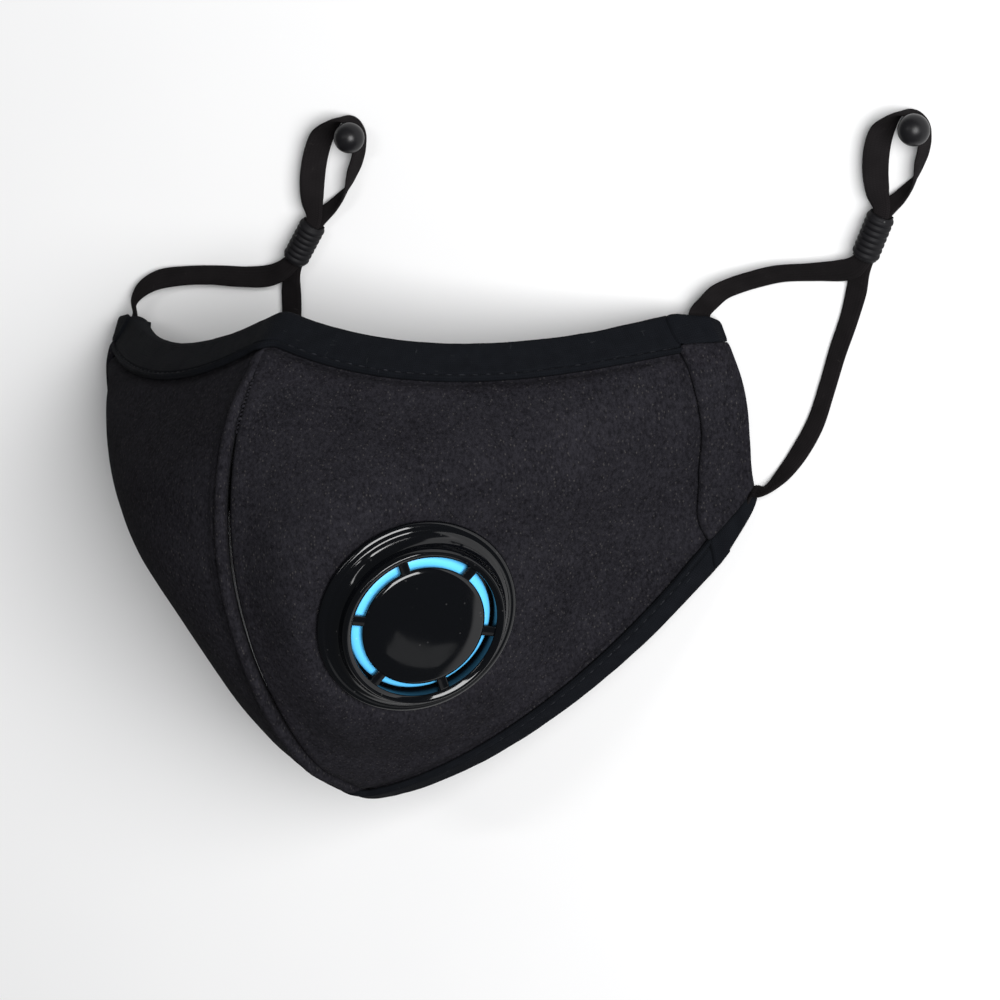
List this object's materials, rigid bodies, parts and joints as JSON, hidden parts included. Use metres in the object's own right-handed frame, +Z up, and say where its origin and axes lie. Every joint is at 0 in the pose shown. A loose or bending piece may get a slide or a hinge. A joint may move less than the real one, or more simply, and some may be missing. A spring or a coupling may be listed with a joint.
{
  "type": "half-face sport mask",
  "caption": "Moulded foam half-face mask with a curved centre seam, knit-bound edges, a round exhalation valve on one cheek and elastic ear loops with toggles.",
  "frame": {"origin": "on the surface under the side hems, at the middle of the mask's box without its ear loops", "axes": "+X to the wearer's left, which carries the valve; +Y to the nose edge; +Z up, out of the face side that lies down"},
  "size_m": [0.2176, 0.1434, 0.0798],
  "materials": {
    "foam_fabric": "matt laminated foam",
    "knit_binding": "matt smooth knit",
    "elastic": "matt ribbed elastic",
    "gloss_black": "gloss",
    "blue_plastic": "satin",
    "soft_black": "satin"
  },
  "bodies": {
    "root": {"panel_left": "foam_fabric", "panel_right": "foam_fabric", "top_band": "knit_binding", "chin_band": "knit_binding", "hem_top_collar_left": "knit_binding", "hem_top_collar_right": "knit_binding", "hem_channel_left": "foam_fabric", "hem_channel_right": "foam_fabric", "hem_chin_collar_left": "knit_binding", "hem_chin_collar_right": "knit_binding", "valve_base": "gloss_black", "valve_back_ring": "gloss_black", "valve_membrane": "blue_plastic", "valve_cap": "gloss_black", "ear_loop_left": "elastic", "ear_loop_right": "elastic", "adjuster_left": "soft_black", "adjuster_right": "soft_black", "bead_left": "gloss_black", "bead_right": "gloss_black"}
  },
  "joints": []
}
